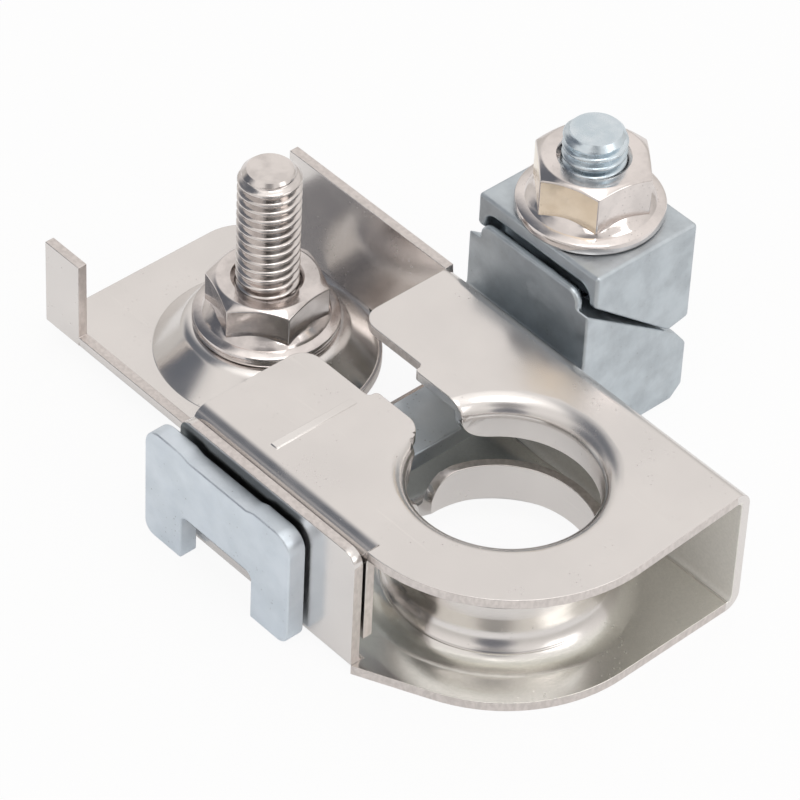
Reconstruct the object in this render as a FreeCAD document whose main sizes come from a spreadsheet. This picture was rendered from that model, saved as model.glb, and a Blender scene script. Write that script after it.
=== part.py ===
import FreeCAD, Part
import math
import os
import Sketcher

# Battery terminal clamp: a folded sheet box round the post, with a cable stud at the rear
# and a pair of wedge blocks at the side that draw a bar across the box.
# X runs from the cable stud to the post end, Y from the bar's head to the wedges, Z is up.
# Heights in the sheet are measured from the underside of the box. The finished pieces are
# lowered by half the box height, so the origin lies on the post axis, half way up the box.

vector = FreeCAD.Vector
document = FreeCAD.newDocument("battery_terminal_clamp")
sheet = document.addObject("Spreadsheet::Sheet", "sizes")

SIZES = [
    # folded sheet box
    ("sheet_thickness", 1.0),
    ("bend_radius", 0.6),
    ("box_height", 13.8),
    ("ground_clearance", 0.1),
    ("box_left", 17.25),
    ("box_right", 14.75),
    ("box_rear", 23.0),
    ("box_front", 15.2),
    ("wall_gap", 0.35),
    ("inner_wall_end", 3.4),
    ("outer_wall_corner", 1.4),
    ("bottom_front_radius", 15.45),
    # post bore and its collars
    ("bore_radius", 8.53),
    ("top_collar_depth", 4.0),
    ("bottom_collar_height", 6.4),
    ("top_flare_rise", 1.9),
    ("collar_foot_rise", 3.2),
    ("flare_lead", 0.1),
    ("bottom_flare_size", 2.46),
    ("collar_crease_height", 5.0),
    ("collar_crease_depth", 0.12),
    ("top_collar_end_radius", 2.5),
    ("bottom_collar_end_radius", 3.0),
    # slots that let the bore close
    ("slot_middle", 0.3),
    ("slot_neck_width", 4.4),
    ("slot_neck_corner", 1.5),
    ("slot_mouth_width", 6.3),
    ("slot_mouth_start", 14.6),
    ("slot_step_radius", 0.45),
    ("slot_corner", 2.0),
    ("bottom_slot_left", 1.9),
    ("bottom_slot_width", 1.6),
    # stamped rib on the top plate
    ("rib_place", 14.9),
    ("rib_start", 13.5),
    ("rib_length", 9.2),
    ("rib_width", 0.8),
    ("rib_height", 0.25),
    # stud plate and its tall wall
    ("plate_lift", 1.0),
    ("plate_reach", 15.55),
    ("plate_left", 10.1),
    ("plate_corner", 5.2),
    ("lip_top", 3.0),
    ("tab_width", 4.8),
    ("tab_top", 11.4),
    ("tall_wall_reach", 9.25),
    ("boss_radius", 10.4),
    ("boss_top_radius", 7.4),
    ("boss_height", 3.2),
    ("boss_shoulder", 1.8),
    ("plate_front_radius", 10.75),
    # cable stud
    ("stud_reach", 12.25),
    ("stud_side", 3.25),
    ("stud_radius", 2.95),
    ("stud_length", 17.9),
    ("stud_head_radius", 5.2),
    ("stud_head_thickness", 1.6),
    ("stud_chamfer", 0.8),
    # flange nuts
    ("nut_flats", 10.0),
    ("nut_height", 6.0),
    ("flange_radius", 6.85),
    ("flange_rim", 1.1),
    ("flange_rise", 2.5),
    ("nut_countersink", 0.4),
    ("nut_chamfer_inset", 0.3),
    ("nut_chamfer_angle", 30),
    ("cable_nut_turn", 39.6),
    ("wedge_nut_turn", 21.2),
    ("thread_clearance", 0.05),
    ("seat_clearance", 0.05),
    # pull bar
    ("bar_place", 15.5),
    ("bar_thickness", 1.9),
    ("bar_low", 4.2),
    ("bar_width", 6.3),
    ("root_width", 9.4),
    ("root_length", 4.6),
    ("root_rise", 1.0),
    ("eye_width", 11.0),
    ("eye_clearance", 0.55),
    ("eye_end", 4.6),
    ("eye_corner", 1.5),
    ("head_gap", 0.3),
    ("head_length", 19.3),
    ("head_top", 12.5),
    ("head_corner", 1.9),
    ("head_hollow", 0.35),
    ("head_hollow_length", 9.6),
    ("head_hollow_ramp", 1.0),
    ("notch_corner", 0.8),
    ("lug_corner", 1.3),
    ("notch_rise", 1.0),
    ("bar_clearance", 0.3),
    # wedge bolt
    ("bolt_reach", 9.25),
    ("bolt_radius", 2.95),
    ("bolt_end_length", 2.95),
    ("bolt_chamfer", 0.6),
    ("bolt_head_width", 9.0),
    ("bolt_head_thickness", 2.4),
    # wedge blocks
    ("wedge_length", 15.6),
    ("lower_wall_gap", 1.95),
    ("upper_inset", 0.95),
    ("wedge_reach", 5.95),
    ("wedge_top", 20.5),
    ("lower_slope", 35.5),
    ("upper_slope", 39.2),
    ("toe_length", 2.5),
    ("toe_height", 9.1),
    ("toe_rise", 0.5),
    ("slope_clearance", 0.08),
    ("lower_corner", 1.3),
    ("lower_shoulder", 1.5),
    ("shoulder_drop", 1.95),
    ("foot_top", 10.4),
    ("foot_bevel", 1.0),
    ("lip_thickness", 0.8),
    ("lip_depth", 2.1),
    ("lip_corner", 1.2),
    ("leg_width", 1.1),
    ("lip_clearance", 0.35),
    ("recess_depth", 2.3),
    ("bolt_clearance", 0.3),
    ("bolt_travel", 2.0),
    ("slot_end_flat", 0.2),
    ("channel_clearance", 0.4),
    ("channel_wall", 1.2),
]
for row, (alias, value) in enumerate(SIZES, start=1):
    sheet.set(f"A{row}", alias)
    sheet.set(f"B{row}", str(value))
    sheet.setAlias(f"B{row}", alias)
document.recompute()

# Places that follow from the sheet and are used by more than one piece.
THICK = "sizes.sheet_thickness"
TOP = "sizes.box_height"
TOP_UNDER = "(sizes.box_height - sizes.sheet_thickness)"
BEND_OUTER = "(sizes.bend_radius + sizes.sheet_thickness)"
RIGHT_INNER = "(sizes.box_right - sizes.sheet_thickness)"
OUTER_WALL_INNER = "(sizes.box_left - sizes.sheet_thickness)"
FOLD_LEFT = "(sizes.box_left - sizes.sheet_thickness - sizes.wall_gap)"
PLATE_TOP = "(sizes.plate_lift + sizes.sheet_thickness)"
STUD_BACK = "(sizes.box_rear + sizes.stud_reach)"
STUD_PLACE = (f"-{STUD_BACK}", "sizes.stud_side")
PLATE_FRONT = f"({STUD_BACK} - sizes.plate_front_radius)"
PLATE_REAR = f"({STUD_BACK} + sizes.plate_reach)"
TALL_WALL_REAR = f"({STUD_BACK} + sizes.tall_wall_reach)"
TOP_COLLAR_END = "(sizes.box_height - sizes.top_collar_depth)"
BOTTOM_SLOT_RIGHT = "(sizes.bottom_slot_width - sizes.bottom_slot_left)"
BOSS_TOP = f"({PLATE_TOP} + sizes.boss_height)"
STUD_TOP = f"({BOSS_TOP} + sizes.stud_length)"
BAR_TOP = "(sizes.bar_low + sizes.bar_thickness)"
HEAD_BACK = "(sizes.box_left + sizes.head_gap)"
HEAD_FRONT = "(sizes.box_left + sizes.head_gap + sizes.bar_thickness)"
NOTCH_TOP = "(sizes.bar_low + sizes.notch_rise)"
BOLT_SIDE = "(sizes.box_right + sizes.bolt_reach)"
BOLT_PLACE = ("-sizes.bar_place", BOLT_SIDE)
BOLT_TOP = "(sizes.wedge_top + sizes.seat_clearance + sizes.nut_height + sizes.bolt_end_length)"
BOLT_SLOT_RADIUS = "(sizes.bolt_radius + sizes.bolt_clearance)"
EYE_START = "(sizes.box_right + sizes.bolt_travel + sizes.eye_clearance)"
LOWER_INNER = "(sizes.box_right + sizes.lower_wall_gap)"
UPPER_INNER = f"({LOWER_INNER} + sizes.upper_inset)"
WEDGE_OUTER = f"({BOLT_SIDE} + sizes.wedge_reach)"
LIP_TOP = "(sizes.wedge_top - sizes.lip_depth)"
TOE_INNER = f"({WEDGE_OUTER} - sizes.toe_length)"
CHANNEL_WIDTH = "(sizes.eye_width + 2 * sizes.channel_clearance)"
# Cutting outlines run past the sheet by its thickness, so that no skin is left.
REAR_BEYOND = f"-(sizes.box_rear + {THICK})"


def number(expression):
    """Value of an expression in the sheet's sizes."""
    return float(sheet.evalExpression(expression))


def new_body(name):
    """Body with its name as label, lowered so that the origin is half way up the box."""
    body = document.addObject("PartDesign::Body", name)
    body.Label = name
    body.setExpression("Placement.Base.z", "-sizes.box_height / 2")
    return body


def new_sketch(body, role, name, across="0", up="0", out="0"):
    """Sketch on an origin plane, shifted within the plane and along its normal."""
    plane = next(item for item in body.Origin.OriginFeatures if item.Role == role)
    sketch = body.newObject("Sketcher::SketchObject", name)
    sketch.AttachmentSupport = (plane, [""])
    sketch.MapMode = "FlatFace"
    for axis, expression in (("x", across), ("y", up), ("z", out)):
        if expression != "0":
            sketch.setExpression(f"AttachmentOffset.Base.{axis}", expression)
    return sketch


def fix_point(sketch, edge, end, place):
    """Hold one end of an edge at a place given by two expressions."""
    for kind, expression in zip(("DistanceX", "DistanceY"), place):
        constraint = Sketcher.Constraint(kind, -1, 1, edge, end, number(expression))
        index = sketch.addConstraint(constraint)
        sketch.setExpression(f"Constraints[{index}]", expression)


def add_arc(sketch, start, finish, radius, side):
    """Arc from start to finish; its centre lies to the left where side is 1."""
    chord = finish - start
    middle = (start + finish) / 2
    rise = max(radius ** 2 - (chord.Length / 2) ** 2, 0) ** 0.5
    normal = vector(-chord.y, chord.x, 0) / chord.Length
    centre = middle + normal * rise * side
    first = Part.Circle(centre, vector(0, 0, side), radius)
    arc = Part.Arc(first, first.parameter(start), first.parameter(finish))
    return sketch.addGeometry(arc, False)


def round_corners(corners, arcs):
    """Replace each square corner that has a radius by the two ends of its arc."""
    places = [(number(corner[0]), number(corner[1])) for corner in corners]
    count = len(corners)
    rounded = []
    rounded_arcs = {}
    for index, corner in enumerate(corners):
        if index in arcs:
            rounded_arcs[len(rounded)] = arcs[index]
        if len(corner) == 2:
            rounded.append(corner)
            continue
        across, up, radius = corner
        here = vector(*places[index], 0)
        arrive = vector(*places[index - 1], 0) - here
        leave = vector(*places[(index + 1) % count], 0) - here
        side = 1 if leave.cross(arrive).z > 0 else -1
        rounded_arcs[len(rounded)] = (radius, side)
        for way in (arrive.normalize(), leave.normalize()):
            rounded.append((
                f"{across} + {round(way.x)} * {radius}",
                f"{up} + {round(way.y)} * {radius}",
            ))
    return rounded, rounded_arcs


def add_outline(sketch, corners, arcs=None):
    """Closed outline through corners given as expressions.

    A third item in a square corner is the radius that rounds it. arcs gives, by the number
    of the corner that an arc starts from, its radius and the side its centre lies on.
    """
    corners, arcs = round_corners(corners, arcs or {})
    points = [vector(number(x), number(y), 0) for x, y in corners]
    count = len(points)
    edges = []
    for index, start in enumerate(points):
        finish = points[(index + 1) % count]
        if index in arcs:
            radius, side = arcs[index]
            edges.append(add_arc(sketch, start, finish, number(radius), side))
        else:
            edges.append(sketch.addGeometry(Part.LineSegment(start, finish), False))
    ends = []
    for index in range(count):
        clockwise = index in arcs and arcs[index][1] < 0
        ends.append((2, 1) if clockwise else (1, 2))
    for index, edge in enumerate(edges):
        following = (index + 1) % count
        sketch.addConstraint(
            Sketcher.Constraint("Coincident", edge, ends[index][1], edges[following], ends[following][0])
        )
        fix_point(sketch, edge, ends[index][0], corners[index])
        if index in arcs:
            radius = arcs[index][0]
            held = sketch.addConstraint(Sketcher.Constraint("Radius", edge, number(radius)))
            sketch.setExpression(f"Constraints[{held}]", radius)


def add_circle(sketch, radius, place=("0", "0")):
    """Circle whose radius and centre are given as expressions."""
    centre = vector(number(place[0]), number(place[1]), 0)
    edge = sketch.addGeometry(Part.Circle(centre, vector(0, 0, 1), number(radius)), False)
    held = sketch.addConstraint(Sketcher.Constraint("Radius", edge, number(radius)))
    sketch.setExpression(f"Constraints[{held}]", radius)
    fix_point(sketch, edge, 3, place)


def rectangle(left, low, right, high):
    """Corners of a rectangle, given by its sides."""
    return [(left, low), (right, low), (right, high), (left, high)]


def pad(body, sketch, name, length, backward=False):
    """Pad a sketch along its normal, or against it."""
    feature = body.newObject("PartDesign::Pad", name)
    feature.Profile = sketch
    feature.Reversed = backward
    feature.setExpression("Length", length)
    document.recompute()
    return feature


def pocket(body, sketch, name, depth=None, forward=False):
    """Cut a sketch against its normal to a depth, or right through on both sides."""
    before = body.Shape.Volume
    feature = body.newObject("PartDesign::Pocket", name)
    feature.Profile = sketch
    if depth is None:
        feature.Type = "ThroughAll"
        feature.SideType = "Symmetric"
    else:
        feature.Reversed = forward
        feature.setExpression("Length", depth)
    document.recompute()
    if feature.Shape.Volume >= before:
        raise RuntimeError(f"{name} cuts nothing")
    return feature


def revolve(body, sketch, name, cut=False):
    """Turn a sketch once round its own upright axis, as added or as cut material."""
    before = body.Shape.Volume if cut else 0
    feature = body.newObject("PartDesign::Groove" if cut else "PartDesign::Revolution", name)
    feature.Profile = sketch
    feature.ReferenceAxis = (sketch, ["V_Axis"])
    feature.Angle = 360
    document.recompute()
    if cut and feature.Shape.Volume >= before:
        raise RuntimeError(f"{name} cuts nothing")
    return feature


def dress_edges(body, kind, name, size, wanted):
    """Fillet or chamfer every edge of the body that the wanted test picks."""
    base = body.Tip
    picked = [f"Edge{i}" for i, edge in enumerate(base.Shape.Edges, start=1) if wanted(edge)]
    if not picked:
        raise RuntimeError(f"{name} finds no edge")
    feature = body.newObject(f"PartDesign::{kind}", name)
    feature.Base = (base, picked)
    feature.setExpression("Radius" if kind == "Fillet" else "Size", size)
    document.recompute()


def round_edges(body, name, radius, wanted):
    """Fillet the wanted edges."""
    dress_edges(body, "Fillet", name, radius, wanted)


def bevel_edges(body, name, size, wanted):
    """Chamfer the wanted edges at 45 degrees."""
    dress_edges(body, "Chamfer", name, size, wanted)


def near(value, expression):
    """True where a measured value equals an expression."""
    return abs(value - number(expression)) < 1e-4


def runs_along(edge, axis):
    """True for a straight edge parallel to the axis."""
    if not isinstance(edge.Curve, Part.Line):
        return False
    return abs(abs(edge.Curve.Direction.dot(axis)) - 1) < 1e-6


def ring_at(radius, height, centre=("0", "0")):
    """Test for whole circles of a radius at a height, about an upright axis."""
    def wanted(edge):
        curve = edge.Curve
        if not isinstance(curve, Part.Circle) or not near(curve.Radius, radius):
            return False
        place = curve.Center
        return near(place.x, centre[0]) and near(place.y, centre[1]) and near(place.z, height)
    return wanted


def tangent_point(corner, radius, turn):
    """Point where a line from a corner touches a circle about the origin."""
    x, y = corner
    angle = f"(atan2({y}; {x}) {turn} acos({radius} / sqrt(({x}) ^ 2 + ({y}) ^ 2)))"
    return (f"{radius} * cos({angle})", f"{radius} * sin({angle})")


def add_box_section(body):
    """Folded box: channel on the right, two overlapping walls on the left."""
    outer = BEND_OUTER
    inner = "sizes.bend_radius"
    section = new_sketch(body, "YZ_Plane", "box_section", out="-sizes.box_rear")
    add_outline(section, [
        ("-sizes.box_left", TOP),
        ("-sizes.box_left", "0", outer),
        ("sizes.box_right", "0", outer),
        ("sizes.box_right", TOP, outer),
        (f"-{FOLD_LEFT}", TOP, outer),
        (f"-{FOLD_LEFT}", "sizes.inner_wall_end"),
        (f"-{FOLD_LEFT} + {THICK}", "sizes.inner_wall_end"),
        (f"-{FOLD_LEFT} + {THICK}", TOP_UNDER, inner),
        (RIGHT_INNER, TOP_UNDER, inner),
        (RIGHT_INNER, THICK, inner),
        (f"-{OUTER_WALL_INNER}", THICK, inner),
        (f"-{OUTER_WALL_INNER}", TOP),
    ])
    pad(body, section, "box_walls", "sizes.box_rear")

    channel = new_sketch(body, "YZ_Plane", "channel_section")
    flange = f"sizes.box_right - 2 * {BEND_OUTER}"
    add_outline(channel, [
        (flange, "0"),
        ("sizes.box_right", "0", outer),
        ("sizes.box_right", TOP, outer),
        (flange, TOP),
        (flange, TOP_UNDER),
        (RIGHT_INNER, TOP_UNDER, inner),
        (RIGHT_INNER, THICK, inner),
        (flange, THICK),
    ])
    pad(body, channel, "right_channel", "sizes.box_front")


def add_front_plates(body):
    """Front parts of the two plates, rounded about the post."""
    corner = ("sizes.box_front", "sizes.box_right")
    inward = f"sizes.box_right - {BEND_OUTER}"
    behind = f"-2 * {THICK}"

    top = new_sketch(body, "XY_Plane", "top_front", out=TOP_UNDER)
    add_outline(top, [
        ("0", f"-{FOLD_LEFT}"),
        tangent_point(corner, FOLD_LEFT, "-"),
        ("sizes.box_front", inward),
        (behind, inward),
        (behind, f"-{FOLD_LEFT} + {BEND_OUTER}"),
        ("0", f"-{FOLD_LEFT} + {BEND_OUTER}"),
    ], {0: (FOLD_LEFT, 1)})
    pad(body, top, "top_plate", THICK)

    radius = "sizes.bottom_front_radius"
    bottom = new_sketch(body, "XY_Plane", "bottom_front")
    add_outline(bottom, [
        ("0", "-sizes.box_left"),
        tangent_point(("0", "-sizes.box_left"), radius, "+"),
        tangent_point(corner, radius, "-"),
        ("sizes.box_front", inward),
        (behind, inward),
        (behind, f"-sizes.box_left + {BEND_OUTER}"),
        ("0", f"-sizes.box_left + {BEND_OUTER}"),
    ], {1: (radius, 1)})
    pad(body, bottom, "bottom_plate", THICK)


def add_flare(body, name, corner, rise, way, cut=False):
    """Ring of a quarter ellipse that fills or cuts a corner; way is 1 where it lies above."""
    across, up = corner
    past = f"{THICK} / 2"
    reach = f"({rise} + sizes.flare_lead)"
    sketch = new_sketch(body, "XZ_Plane", f"{name}_section")
    places = [
        (across, f"{up} + {way} * {rise}"),
        (f"{across} - {past}", f"{up} + {way} * {rise}"),
        (f"{across} - {past}", f"{up} - {way} * {past}"),
        (f"{across} + {reach}", f"{up} - {way} * {past}"),
        (f"{across} + {reach}", up),
    ]
    points = [vector(number(x), number(y), 0) for x, y in places]
    for start, finish in zip(points, points[1:]):
        sketch.addGeometry(Part.LineSegment(start, finish), False)
    last = len(points) - 2
    for line in range(last):
        sketch.addConstraint(Sketcher.Constraint("Coincident", line, 2, line + 1, 1))
        fix_point(sketch, line, 1, places[line])
    fix_point(sketch, last, 1, places[last])
    fix_point(sketch, last, 2, places[last + 1])

    centre = (f"{across} + {reach}", f"{up} + {way} * {rise}")
    ellipse = Part.Ellipse(vector(number(centre[0]), number(centre[1]), 0), number(reach), number(rise))
    begin = math.pi if way > 0 else math.pi / 2
    curve = sketch.addGeometry(Part.ArcOfEllipse(ellipse, begin, begin + math.pi / 2), False)
    sketch.exposeInternalGeometry(curve)
    sketch.addConstraint(Sketcher.Constraint("Horizontal", curve + 1))
    fix_point(sketch, curve, 3, centre)
    at_collar, at_plate = (1, 2) if way > 0 else (2, 1)
    sketch.addConstraint(Sketcher.Constraint("Coincident", curve, at_collar, 0, 1))
    sketch.addConstraint(Sketcher.Constraint("Coincident", curve, at_plate, last, 2))
    revolve(body, sketch, name, cut)


def add_collars(body):
    """Drawn collars round the post: down from the top plate, up from the bottom plate."""
    outer = f"(sizes.bore_radius + {THICK})"
    overlap = f"({THICK} / 2)"
    inner = f"sizes.bore_radius - {THICK}"
    top_ring = new_sketch(body, "XZ_Plane", "top_collar_section")
    add_outline(top_ring, rectangle(inner, TOP_COLLAR_END, outer, f"{TOP} - {overlap}"))
    revolve(body, top_ring, "top_collar")

    crease = "sizes.collar_crease_height"
    drawn_in = f"{outer} - sizes.collar_crease_depth"
    bottom_ring = new_sketch(body, "XZ_Plane", "bottom_collar_section")
    add_outline(bottom_ring, [
        (inner, overlap),
        (outer, overlap),
        (outer, crease),
        (drawn_in, f"{crease} + sizes.collar_crease_depth"),
        (drawn_in, "sizes.bottom_collar_height"),
        (inner, "sizes.bottom_collar_height"),
    ])
    revolve(body, bottom_ring, "bottom_collar")

    bore = new_sketch(body, "XY_Plane", "bore_circle")
    add_circle(bore, "sizes.bore_radius")
    pocket(body, bore, "bore")

    add_flare(body, "collar_foot", (outer, THICK), "sizes.collar_foot_rise", 1)
    add_flare(body, "top_flare", ("sizes.bore_radius", TOP), "sizes.top_flare_rise", -1, cut=True)
    bevel_edges(body, "bottom_flare", "sizes.bottom_flare_size", ring_at("sizes.bore_radius", "0"))


def add_stud_plate(body):
    """Plate behind the box with its tall wall, edge lip, tab and raised boss."""
    length = f"{PLATE_REAR} - sizes.box_rear"
    section = new_sketch(body, "YZ_Plane", "plate_section", out=f"-{PLATE_REAR}")
    add_outline(section, [
        ("-sizes.plate_left", "sizes.plate_lift", BEND_OUTER),
        ("sizes.box_right", "sizes.plate_lift", BEND_OUTER),
        ("sizes.box_right", TOP),
        (RIGHT_INNER, TOP),
        (RIGHT_INNER, PLATE_TOP, "sizes.bend_radius"),
        (f"-sizes.plate_left + {THICK}", PLATE_TOP, "sizes.bend_radius"),
        (f"-sizes.plate_left + {THICK}", "sizes.lip_top"),
        ("-sizes.plate_left", "sizes.lip_top"),
    ])
    pad(body, section, "stud_plate", length)

    wall_end = new_sketch(body, "XZ_Plane", "tall_wall_end")
    add_outline(wall_end, rectangle(
        f"-{PLATE_REAR} - {THICK}", f"{PLATE_TOP} + sizes.bend_radius",
        f"-{TALL_WALL_REAR}", f"{TOP} + {THICK}",
    ))
    pocket(body, wall_end, "tall_wall_cut", f"sizes.box_right + {THICK}")

    relief = new_sketch(body, "XY_Plane", "plate_front")
    radius = "sizes.plate_front_radius"
    meet = f"sqrt({radius} ^ 2 - ({RIGHT_INNER} - sizes.stud_side) ^ 2) - {STUD_BACK}"
    add_outline(relief, [
        (f"-{PLATE_FRONT}", f"-sizes.plate_left - {THICK}"),
        ("-sizes.box_rear", f"-sizes.plate_left - {THICK}"),
        ("-sizes.box_rear", RIGHT_INNER),
        (meet, RIGHT_INNER),
        (f"-{PLATE_FRONT}", "sizes.stud_side"),
    ], {3: (radius, -1)})
    pocket(body, relief, "plate_front_cut", f"sizes.lip_top + {THICK}", forward=True)

    corner = new_sketch(body, "XY_Plane", "plate_corner_outline")
    add_outline(corner, [
        (f"-{PLATE_REAR}", "sizes.box_right - sizes.plate_corner"),
        (f"-{PLATE_REAR} + sizes.plate_corner", "sizes.box_right"),
        (f"-{PLATE_REAR} + sizes.plate_corner", f"sizes.box_right + {THICK}"),
        (f"-{PLATE_REAR} - {THICK}", f"sizes.box_right + {THICK}"),
        (f"-{PLATE_REAR} - {THICK}", "sizes.box_right - sizes.plate_corner"),
    ], {0: ("sizes.plate_corner", -1)})
    pocket(body, corner, "plate_corner_cut", TOP, forward=True)

    tab = new_sketch(body, "XY_Plane", "tab_section", out=PLATE_TOP)
    add_outline(tab, rectangle(
        f"-{PLATE_REAR}", "-sizes.plate_left",
        f"-{PLATE_REAR} + sizes.tab_width", f"-sizes.plate_left + {THICK}",
    ))
    pad(body, tab, "rear_tab", f"sizes.tab_top - {PLATE_TOP}")


def add_boss(body):
    """Raised boss that carries the cable stud, hollow underneath."""
    place = {"across": f"-{STUD_BACK}", "out": "-sizes.stud_side"}
    disc = new_sketch(body, "XY_Plane", "boss_disc")
    add_circle(disc, "sizes.boss_radius", STUD_PLACE)
    pocket(body, disc, "boss_opening", PLATE_TOP, forward=True)

    run = "(sizes.boss_radius - sizes.boss_top_radius)"
    shift = f"{THICK} * tan(atan2(sizes.boss_height; {run}) / 2)"
    hole = "sizes.stud_radius + sizes.thread_clearance"
    under = f"{BOSS_TOP} - {THICK}"
    flank = new_sketch(body, "XZ_Plane", "boss_section", **place)
    add_outline(flank, [
        ("sizes.boss_radius", PLATE_TOP),
        ("sizes.boss_top_radius", BOSS_TOP),
        (hole, BOSS_TOP),
        (hole, under),
        (f"sizes.boss_top_radius - {shift}", under),
        (f"sizes.boss_radius - {shift}", "sizes.plate_lift"),
        ("sizes.boss_radius", "sizes.plate_lift"),
    ])
    revolve(body, flank, "boss")
    shoulder = ring_at("sizes.boss_top_radius", BOSS_TOP, STUD_PLACE)
    round_edges(body, "boss_shoulder", "sizes.boss_shoulder", shoulder)


def add_top_slot(body):
    """Slot in the top plate: a neck at the bore that opens to a wider mouth at the rear edge."""
    middle = "sizes.slot_middle"
    neck = "(sizes.slot_neck_width / 2)"
    mouth = "(sizes.slot_mouth_width / 2)"
    step = "-sizes.slot_mouth_start"
    end = "-sizes.bore_radius"
    corner = "sizes.slot_neck_corner"
    slot = new_sketch(body, "XY_Plane", "top_slot_outline", out=TOP_COLLAR_END)
    add_outline(slot, [
        (REAR_BEYOND, f"{middle} - {mouth}"),
        (step, f"{middle} - {mouth}", "sizes.slot_step_radius"),
        (step, f"{middle} - {neck}", "sizes.slot_step_radius"),
        (f"{end} - {corner}", f"{middle} - {neck}"),
        (end, f"{middle} - {neck} - {corner}"),
        (f"{end} + {corner}", f"{middle} - {neck} - {corner}"),
        (f"{end} + {corner}", f"{middle} + {neck}"),
        (step, f"{middle} + {neck}", "sizes.slot_step_radius"),
        (step, f"{middle} + {mouth}", "sizes.slot_step_radius"),
        (REAR_BEYOND, f"{middle} + {mouth}"),
    ], {3: (corner, -1)})
    pocket(body, slot, "top_slot", f"sizes.top_collar_depth + {THICK}", forward=True)

    def slot_corners(edge):
        if not runs_along(edge, vector(0, 0, 1)):
            return False
        place = edge.CenterOfMass
        at_side = near(abs(place.y - number(middle)), mouth)
        return near(place.x, "-sizes.box_rear") and at_side
    round_edges(body, "slot_corners", "sizes.slot_corner", slot_corners)


def round_collar_ends(body, name, sides, edge, radius, way):
    """Round a collar's corners at both sides of its slot; way is 1 where the collar lies above."""
    left, right = sides
    beyond = f"{edge} - {way} * {THICK} / 2"
    cut = new_sketch(body, "YZ_Plane", f"{name}_outline")
    add_outline(cut, [
        (f"{left} - {radius}", beyond),
        (f"{right} + {radius}", beyond),
        (f"{right} + {radius}", edge),
        (right, f"{edge} + {way} * {radius}"),
        (left, f"{edge} + {way} * {radius}"),
        (f"{left} - {radius}", edge),
    ], {2: (radius, way), 4: (radius, way)})
    pocket(body, cut, name, f"sizes.bore_radius + 2 * {THICK}")


def add_collar_ends(body):
    """Slot in the bottom plate, and round ends on both collars where the slots cut them."""
    slot = new_sketch(body, "XY_Plane", "bottom_slot_outline")
    add_outline(slot, rectangle(
        REAR_BEYOND, "-sizes.bottom_slot_left", f"-sizes.bore_radius + {THICK}", BOTTOM_SLOT_RIGHT,
    ))
    pocket(body, slot, "bottom_slot", f"sizes.bottom_collar_height + {THICK}", forward=True)

    neck = "(sizes.slot_neck_width / 2)"
    sides = (f"sizes.slot_middle - {neck}", f"sizes.slot_middle + {neck}")
    round_collar_ends(body, "top_collar_ends", sides, TOP_COLLAR_END, "sizes.top_collar_end_radius", 1)
    sides = ("-sizes.bottom_slot_left", BOTTOM_SLOT_RIGHT)
    height = "sizes.bottom_collar_height"
    round_collar_ends(body, "bottom_collar_ends", sides, height, "sizes.bottom_collar_end_radius", -1)


def add_bar_slots(body):
    """Slots in the side walls that the pull bar passes through."""
    bar = new_sketch(body, "XZ_Plane", "bar_slot_outline")
    half = f"({CHANNEL_WIDTH} / 2)"
    add_outline(bar, rectangle(
        f"-sizes.bar_place - {half}", "sizes.bar_low - sizes.bar_clearance",
        f"-sizes.bar_place + {half}", f"{BAR_TOP} + sizes.bar_clearance",
    ))
    pocket(body, bar, "bar_slots")


def add_rib(body):
    """Stamped rib on the top plate and rounded corners on the outer wall."""
    rib = new_sketch(body, "XY_Plane", "rib_outline", out=TOP_UNDER)
    half = "(sizes.rib_width / 2)"
    add_outline(rib, rectangle(
        f"-sizes.rib_place - {half}", "-sizes.rib_start",
        f"-sizes.rib_place + {half}", "-sizes.rib_start + sizes.rib_length",
    ))
    pad(body, rib, "top_rib", f"{THICK} + sizes.rib_height")

    def wall_corners(edge):
        middle = edge.CenterOfMass
        at_end = near(middle.x, "0") or near(middle.x, "-sizes.box_rear")
        on_wall = number("-sizes.box_left") < middle.y < -number(OUTER_WALL_INNER)
        return runs_along(edge, vector(0, 1, 0)) and at_end and on_wall and near(middle.z, TOP)
    round_edges(body, "outer_wall_corners", "sizes.outer_wall_corner", wall_corners)


def build_clamp_body():
    """The folded sheet with everything that is pressed into it."""
    body = new_body("clamp_body")
    add_box_section(body)
    add_front_plates(body)
    add_collars(body)
    add_rib(body)
    add_stud_plate(body)
    add_boss(body)
    add_top_slot(body)
    add_collar_ends(body)
    add_bar_slots(body)
    return body


def build_stud():
    """Cable stud: a flat head under the boss and a shank with a chamfered end."""
    body = new_body("cable_stud")
    place = {"across": f"-{STUD_BACK}", "out": "-sizes.stud_side"}
    head_top = f"({BOSS_TOP} - {THICK})"
    profile = new_sketch(body, "XZ_Plane", "stud_profile", **place)
    add_outline(profile, [
        ("0", f"{head_top} - sizes.stud_head_thickness"),
        ("sizes.stud_head_radius", f"{head_top} - sizes.stud_head_thickness"),
        ("sizes.stud_head_radius", head_top),
        ("sizes.stud_radius", head_top),
        ("sizes.stud_radius", f"{STUD_TOP} - sizes.stud_chamfer"),
        ("sizes.stud_radius - sizes.stud_chamfer", STUD_TOP),
        ("0", STUD_TOP),
    ])
    revolve(body, profile, "stud")
    return body


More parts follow.
